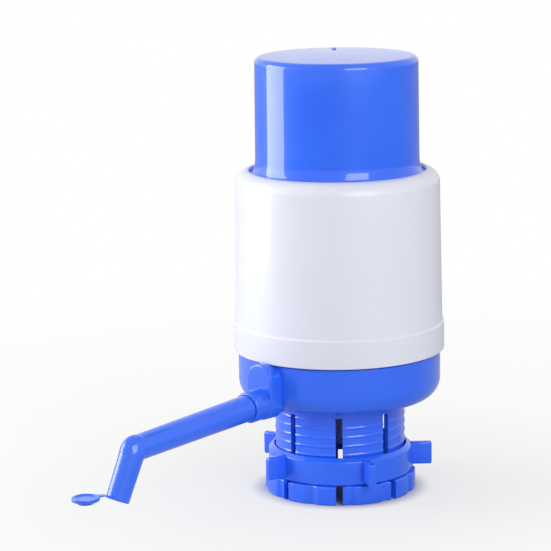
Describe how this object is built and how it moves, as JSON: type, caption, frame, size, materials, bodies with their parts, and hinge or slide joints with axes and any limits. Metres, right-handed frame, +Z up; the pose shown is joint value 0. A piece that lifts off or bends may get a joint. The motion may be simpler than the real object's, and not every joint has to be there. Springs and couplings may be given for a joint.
{
  "type": "water jug hand pump",
  "caption": "Hand pump for a large water jug: press cap over a bellows, swivel spout with tethered cap, and a lugged clamp collar for the jug's neck.",
  "frame": {"origin": "centre of the bottom of the box round the whole pump, on the plane the foot stands on", "axes": "+Z up along the pump's axis, the spout towards -Y, +X across; the pump's axis is at x 0, y 0.0578"},
  "size_m": [0.098, 0.2136, 0.2038],
  "materials": {
    "blue_plastic": "satin gloss",
    "white_plastic": "satin",
    "milky_plastic": "milky, slightly translucent",
    "grey_rubber": "soft matt"
  },
  "bodies": {
    "base": {"clamp_collar": "blue_plastic", "base_housing": "blue_plastic", "body_shell": "white_plastic", "air_deck": "white_plastic", "bellows_clamp_ring": "white_plastic", "deck_seal": "grey_rubber", "water_duct": "white_plastic", "duct_seal": "grey_rubber", "tube_connector": "grey_rubber", "jug_seal": "grey_rubber", "bellows": "milky_plastic"},
    "cap": {"press_cap": "blue_plastic", "bellows_top_plate": "white_plastic"},
    "inlet_valve": {"inlet_valve": "grey_rubber"},
    "outlet_valve": {"outlet_valve": "grey_rubber"},
    "clamp_ring": {"clamp_ring": "blue_plastic"},
    "spout": {"spout": "blue_plastic", "spout_seal": "grey_rubber"},
    "spout_cap": {"spout_cap": "blue_plastic"}
  },
  "joints": [
    {"name": "cap_press", "type": "slide", "parent": "base", "child": "cap", "axis": [0, 0, -1], "range_m": [0, 0.045], "stiffness_N_per_m": 380, "springref_m": -0.012, "deforming": ["bellows"]},
    {"name": "inlet_valve_lift", "type": "slide", "parent": "cap", "child": "inlet_valve", "axis": [0, 0, -1], "range_m": [0, 0.0008], "stiffness_N_per_m": 20, "springref_m": -0.0006},
    {"name": "outlet_valve_lift", "type": "slide", "parent": "base", "child": "outlet_valve", "axis": [0, 0, -1], "range_m": [0, 0.0008], "stiffness_N_per_m": 20, "springref_m": -0.0006},
    {"name": "clamp_ring_turn", "type": "hinge", "parent": "base", "child": "clamp_ring", "pos_m": [0, 0.05778, 0.01545], "axis": [0, 0, 1], "range_deg": [0, 1900]},
    {"name": "spout_swivel", "type": "hinge", "parent": "base", "child": "spout", "pos_m": [0, -0.00342, 0.0491], "axis": [0, -0.9971, -0.0767], "continuous": true},
    {"name": "spout_cap_hinge", "type": "hinge", "parent": "spout", "child": "spout_cap", "pos_m": [0, -0.09127, 0.0266], "axis": [1, 0, 0], "range_deg": [0, 154], "stiffness_Nm_per_rad": 0.003}
  ]
}
